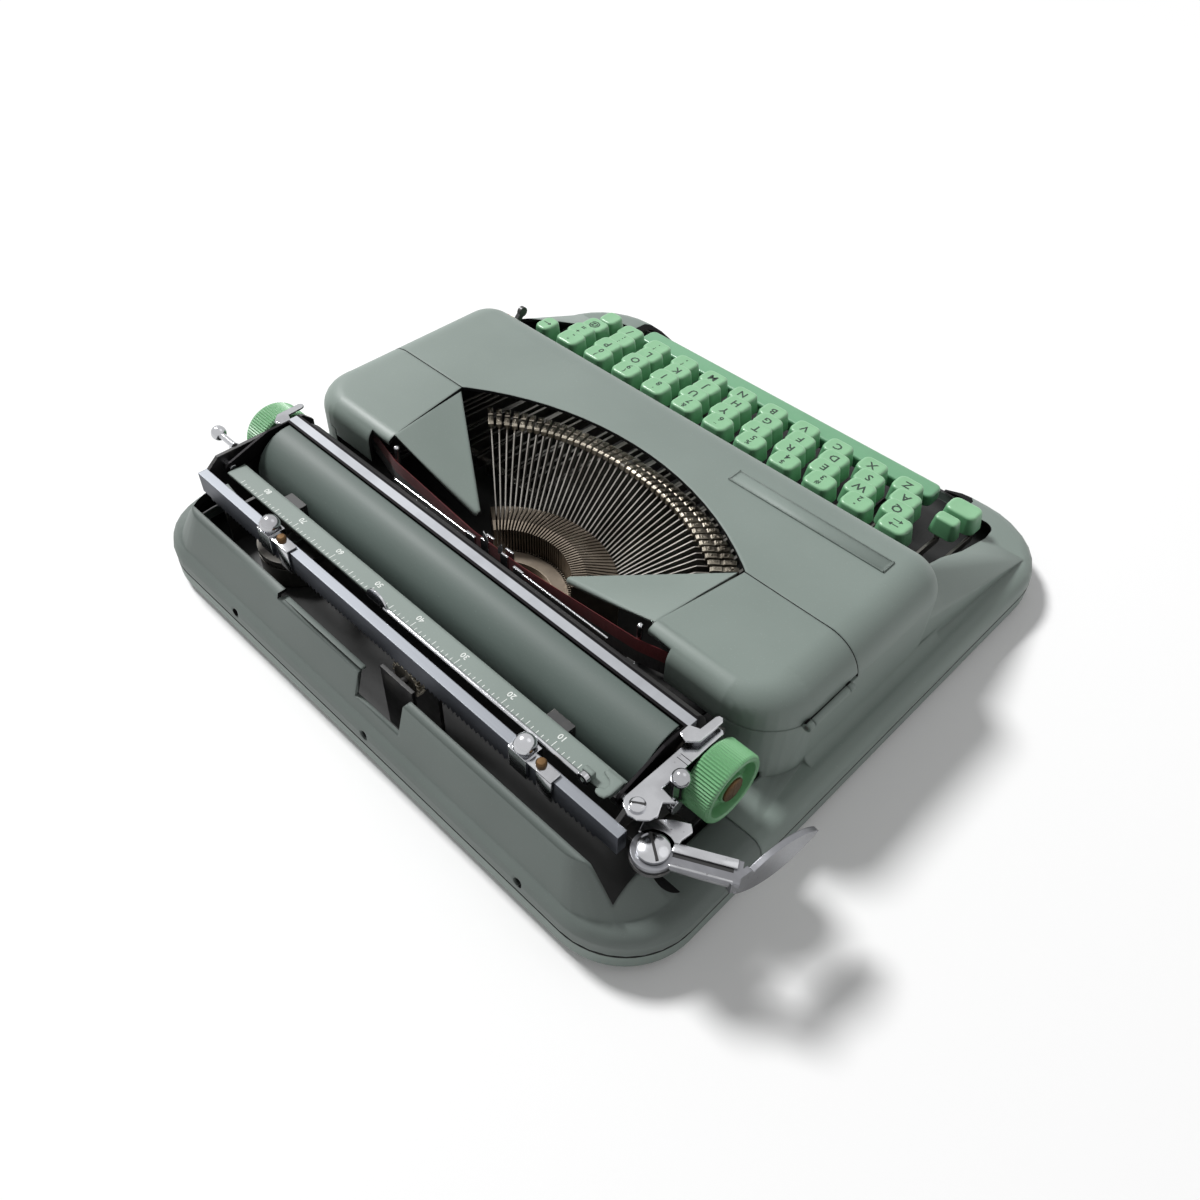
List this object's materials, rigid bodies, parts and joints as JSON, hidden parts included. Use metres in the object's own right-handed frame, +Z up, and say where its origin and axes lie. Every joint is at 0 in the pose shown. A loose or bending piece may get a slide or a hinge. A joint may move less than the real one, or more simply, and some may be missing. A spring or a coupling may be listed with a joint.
{
  "type": "manual typewriter",
  "caption": "Flat portable manual typewriter with mint keys, sliding carriage, fanned typebars, hinged ribbon covers and return lever.",
  "frame": {"origin": "on the table plane, under the middle of the base", "axes": "+X typist's right, -Y towards the typist, +Z up"},
  "size_m": [0.299, 0.2811, 0.0632],
  "materials": {
    "body_paint": "semi-gloss grey-green stoving enamel",
    "key_plastic": "glossy mint-green plastic",
    "black_paint": "black enamel",
    "black_rubber": "matt black rubber",
    "dark_steel": "dull bare steel",
    "bright_chrome": "polished chrome plate",
    "type_metal": "worn plated type metal",
    "ribbon_cloth": "inked woven ribbon, black above dark red"
  },
  "bodies": {
    "chassis": {"base_pan": "body_paint", "rubber_feet": "black_rubber", "body_shell": "body_paint", "rear_shell": "body_paint", "side_frames": "black_paint", "fulcrum_rod": "dark_steel", "type_segment": "dark_steel", "typebars": "dark_steel", "type_slugs": "type_metal", "ribbon": "ribbon_cloth", "ribbon_guides": "bright_chrome", "card_holder": "bright_chrome", "carriage_rail": "dark_steel", "escapement_bracket": "black_paint", "hinge_pins": "dark_steel"},
    "struck_bar": {"struck_typebar": "dark_steel"},
    "vibrator": {"ribbon_vibrator": "bright_chrome"},
    "spool_left": {"ribbon_spool_left": "black_paint"},
    "spool_right": {"ribbon_spool_right": "black_paint"},
    "rollers": {"carriage_rollers": "dark_steel"},
    "pinion": {"escapement_pinion": "type_metal"},
    "drum": {"spring_drum": "dark_steel"},
    "cover_left": {"ribbon_cover_left": "body_paint"},
    "cover_right": {"ribbon_cover_right": "body_paint"},
    "selector": {"ribbon_selector": "black_paint"},
    "row_1": {"key_caps_row_1": "key_plastic", "key_levers_row_1": "dark_steel"},
    "row_2": {"key_caps_row_2": "key_plastic", "key_levers_row_2": "dark_steel"},
    "row_3": {"key_caps_row_3": "key_plastic", "key_levers_row_3": "dark_steel"},
    "row_4": {"key_caps_row_4": "key_plastic", "key_levers_row_4": "dark_steel"},
    "key": {"struck_key": "key_plastic", "struck_key_lever": "dark_steel"},
    "space": {"space_bar": "key_plastic"},
    "left_shift": {"shift_left": "key_plastic"},
    "right_shift": {"shift_right": "key_plastic"},
    "lock": {"shift_lock": "key_plastic"},
    "backspace": {"backspace_key": "key_plastic"},
    "margin_release": {"margin_release_key": "key_plastic"},
    "carriage": {"carriage_frame": "black_paint", "margin_rail": "dark_steel", "margin_scale": "body_paint", "paper_table": "body_paint", "carriage_screws": "bright_chrome", "line_space_plate": "bright_chrome"},
    "platen": {"platen": "black_rubber", "platen_shaft": "dark_steel", "knob_left": "key_plastic", "knob_right": "key_plastic", "ratchet_wheel": "dark_steel"},
    "feed": {"feed_roller": "black_rubber"},
    "bail": {"paper_bail": "bright_chrome"},
    "return": {"return_lever": "bright_chrome"},
    "space_lever": {"line_space_lever": "bright_chrome"},
    "release": {"paper_release_lever": "bright_chrome"},
    "stop_left": {"margin_stop_left": "bright_chrome"},
    "stop_right": {"margin_stop_right": "bright_chrome"},
    "support": {"paper_support": "bright_chrome"}
  },
  "joints": [
    {"name": "typebar_swing", "type": "hinge", "parent": "chassis", "child": "struck_bar", "pos_m": [0.00084, 0.02465, 0.02], "axis": [-0.9998, -0.0215, 0], "range_deg": [0, 106.56], "stiffness_Nm_per_rad": 0.002, "springref_deg": -22.92},
    {"name": "vibrator_lift", "type": "slide", "parent": "chassis", "child": "vibrator", "axis": [0, 0, 1], "range_m": [0, 0.00801]},
    {"name": "struck_key_press", "type": "hinge", "parent": "chassis", "child": "key", "pos_m": [0, 0.008, 0.02], "axis": [1, 0, 0], "range_deg": [0, 2.75]},
    {"name": "spool_left_spin", "type": "hinge", "parent": "chassis", "child": "spool_left", "pos_m": [-0.1, 0.038, 0], "axis": [0, 0, 1], "continuous": true},
    {"name": "spool_right_spin", "type": "hinge", "parent": "chassis", "child": "spool_right", "pos_m": [0.1, 0.038, 0], "axis": [0, 0, 1], "continuous": true},
    {"name": "cover_left_hinge", "type": "hinge", "parent": "chassis", "child": "cover_left", "pos_m": [-0.1318, 0, 0.047], "axis": [0, -1, 0], "range_deg": [0, 100]},
    {"name": "cover_right_hinge", "type": "hinge", "parent": "chassis", "child": "cover_right", "pos_m": [0.1318, 0, 0.047], "axis": [0, 1, 0], "range_deg": [0, 100]},
    {"name": "selector_tilt", "type": "hinge", "parent": "chassis", "child": "selector", "pos_m": [0, -0.038, 0.0358], "axis": [1, 0, 0], "range_deg": [-4, 6]},
    {"name": "row_1_press", "type": "hinge", "parent": "chassis", "child": "row_1", "pos_m": [0, 0.008, 0.02], "axis": [1, 0, 0], "range_deg": [0, 3.72], "stiffness_Nm_per_rad": 0.5, "springref_deg": -17.19},
    {"name": "row_2_press", "type": "hinge", "parent": "chassis", "child": "row_2", "pos_m": [0, 0.008, 0.02], "axis": [1, 0, 0], "range_deg": [0, 3.16], "stiffness_Nm_per_rad": 0.5, "springref_deg": -17.19},
    {"name": "row_3_press", "type": "hinge", "parent": "chassis", "child": "row_3", "pos_m": [0, 0.008, 0.02], "axis": [1, 0, 0], "range_deg": [0, 2.74], "stiffness_Nm_per_rad": 0.5, "springref_deg": -17.19},
    {"name": "row_4_press", "type": "hinge", "parent": "chassis", "child": "row_4", "pos_m": [0, 0.008, 0.02], "axis": [1, 0, 0], "range_deg": [0, 2.13], "stiffness_Nm_per_rad": 0.5, "springref_deg": -17.19},
    {"name": "space_bar_press", "type": "hinge", "parent": "chassis", "child": "space", "pos_m": [0, 0.008, 0.02], "axis": [1, 0, 0], "range_deg": [0, 1.6], "stiffness_Nm_per_rad": 0.3, "springref_deg": -17.19},
    {"name": "shift_left_press", "type": "hinge", "parent": "chassis", "child": "left_shift", "pos_m": [0, 0.008, 0.02], "axis": [1, 0, 0], "range_deg": [0, 2.2], "stiffness_Nm_per_rad": 0.1, "springref_deg": -14.32},
    {"name": "shift_right_press", "type": "hinge", "parent": "chassis", "child": "right_shift", "pos_m": [0, 0.008, 0.02], "axis": [1, 0, 0], "range_deg": [0, 2.2]},
    {"name": "shift_lock_press", "type": "hinge", "parent": "chassis", "child": "lock", "pos_m": [0, 0.008, 0.02], "axis": [1, 0, 0], "range_deg": [0, 2.2], "stiffness_Nm_per_rad": 0.1, "springref_deg": -14.32},
    {"name": "backspace_press", "type": "hinge", "parent": "chassis", "child": "backspace", "pos_m": [0, 0.008, 0.02], "axis": [1, 0, 0], "range_deg": [0, 3.72], "stiffness_Nm_per_rad": 0.1, "springref_deg": -14.32},
    {"name": "margin_release_press", "type": "hinge", "parent": "chassis", "child": "margin_release", "pos_m": [0, 0.008, 0.02], "axis": [1, 0, 0], "range_deg": [0, 3.72], "stiffness_Nm_per_rad": 0.1, "springref_deg": -14.32},
    {"name": "carriage_slide", "type": "slide", "parent": "chassis", "child": "carriage", "axis": [1, 0, 0], "range_m": [-0.095, 0.095]},
    {"name": "escapement_turn", "type": "hinge", "parent": "chassis", "child": "pinion", "pos_m": [-0.01428, 0.12, 0.03447], "axis": [0, 1, 0], "range_deg": [-721, 721]},
    {"name": "drum_turn", "type": "hinge", "parent": "chassis", "child": "drum", "pos_m": [0.09, 0.1, 0], "axis": [0, 0, 1], "range_deg": [-365, 365]},
    {"name": "rollers_slide", "type": "slide", "parent": "chassis", "child": "rollers", "axis": [1, 0, 0], "range_m": [-0.048, 0.048]},
    {"name": "platen_turn", "type": "hinge", "parent": "carriage", "child": "platen", "pos_m": [0, 0.08, 0.045], "axis": [1, 0, 0], "continuous": true},
    {"name": "feed_turn", "type": "hinge", "parent": "carriage", "child": "feed", "pos_m": [0, 0.078, 0.0277], "axis": [1, 0, 0], "continuous": true},
    {"name": "bail_lift", "type": "hinge", "parent": "carriage", "child": "bail", "pos_m": [0, 0.11, 0.052], "axis": [-1, 0, 0], "range_deg": [0, 70]},
    {"name": "return_swing", "type": "hinge", "parent": "carriage", "child": "return", "pos_m": [-0.1271, 0.1155, 0], "axis": [0, 0, 1], "range_deg": [0, 12], "stiffness_Nm_per_rad": 0.05, "springref_deg": -17.19},
    {"name": "line_space_set", "type": "hinge", "parent": "carriage", "child": "space_lever", "pos_m": [0, 0.097, 0.044], "axis": [1, 0, 0], "range_deg": [-12, 12]},
    {"name": "paper_release_tilt", "type": "hinge", "parent": "carriage", "child": "release", "pos_m": [0, 0.104, 0.046], "axis": [1, 0, 0], "range_deg": [0, 25]},
    {"name": "margin_left_slide", "type": "slide", "parent": "carriage", "child": "stop_left", "axis": [1, 0, 0], "range_m": [-0.03, 0.03]},
    {"name": "margin_right_slide", "type": "slide", "parent": "carriage", "child": "stop_right", "axis": [1, 0, 0], "range_m": [-0.03, 0.03]},
    {"name": "support_raise", "type": "hinge", "parent": "carriage", "child": "support", "pos_m": [-0.097, 0, 0.0536], "axis": [0, -1, 0], "range_deg": [0, 80]}
  ],
  "couplings": [
    {"joint": "struck_key_press", "follows": "typebar_swing", "ratio": 0.02575},
    {"joint": "vibrator_lift", "follows": "typebar_swing", "m_per_rad": 0.0043013},
    {"joint": "escapement_turn", "follows": "carriage_slide", "rad_per_m": 132},
    {"joint": "drum_turn", "follows": "carriage_slide", "rad_per_m": 66.667},
    {"joint": "rollers_slide", "follows": "carriage_slide", "ratio": 0.5},
    {"joint": "feed_turn", "follows": "platen_turn", "ratio": -3.25},
    {"joint": "shift_right_press", "follows": "shift_left_press", "ratio": 1}
  ]
}
